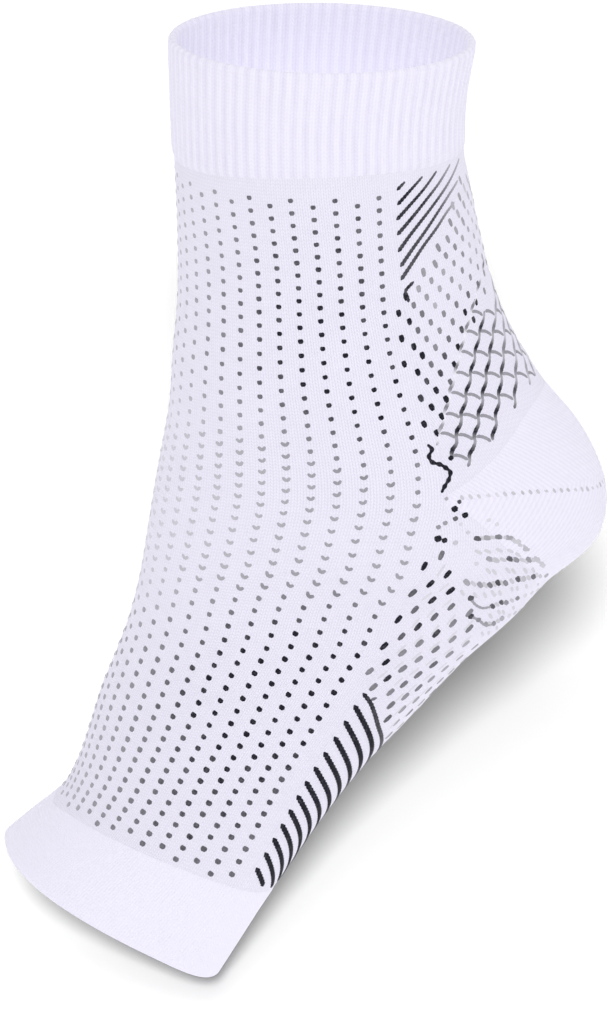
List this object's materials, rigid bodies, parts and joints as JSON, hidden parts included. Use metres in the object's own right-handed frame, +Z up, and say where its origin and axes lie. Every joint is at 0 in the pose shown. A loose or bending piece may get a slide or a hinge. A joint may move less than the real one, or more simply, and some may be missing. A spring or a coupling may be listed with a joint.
{
  "type": "open-toe compression sock",
  "caption": "Ankle-high knitted compression sock, open at the toes, in its worn shape, with ribbed cuff, patterned ankle and arch panels, turned heel and toe band.",
  "frame": {"origin": "middle of the ankle inside the sock, where the wearer's ankle sits, on the plane of symmetry", "axes": "+Z up along the lower leg to the top rim, +X toward the back of the heel, toes toward -X and down, +Y to the far side of the picture"},
  "size_m": [0.1697, 0.0852, 0.2655],
  "materials": {
    "white_rib_knit": "soft matte ribbed knit, white with a faint lavender cast",
    "white_dotted_knit": "thin matte knit, white, with columns of small dark grey dots",
    "white_patterned_knit": "thin matte knit, white, with dark stripes, dashes and a net of grey lines",
    "white_plain_knit": "matte plain knit, white"
  },
  "bodies": {
    "root": {"cuff": "white_rib_knit", "leg_and_instep": "white_dotted_knit", "achilles_panel": "white_patterned_knit", "heel_pocket": "white_plain_knit", "arch_panel": "white_patterned_knit", "toe_band": "white_plain_knit"}
  },
  "joints": []
}
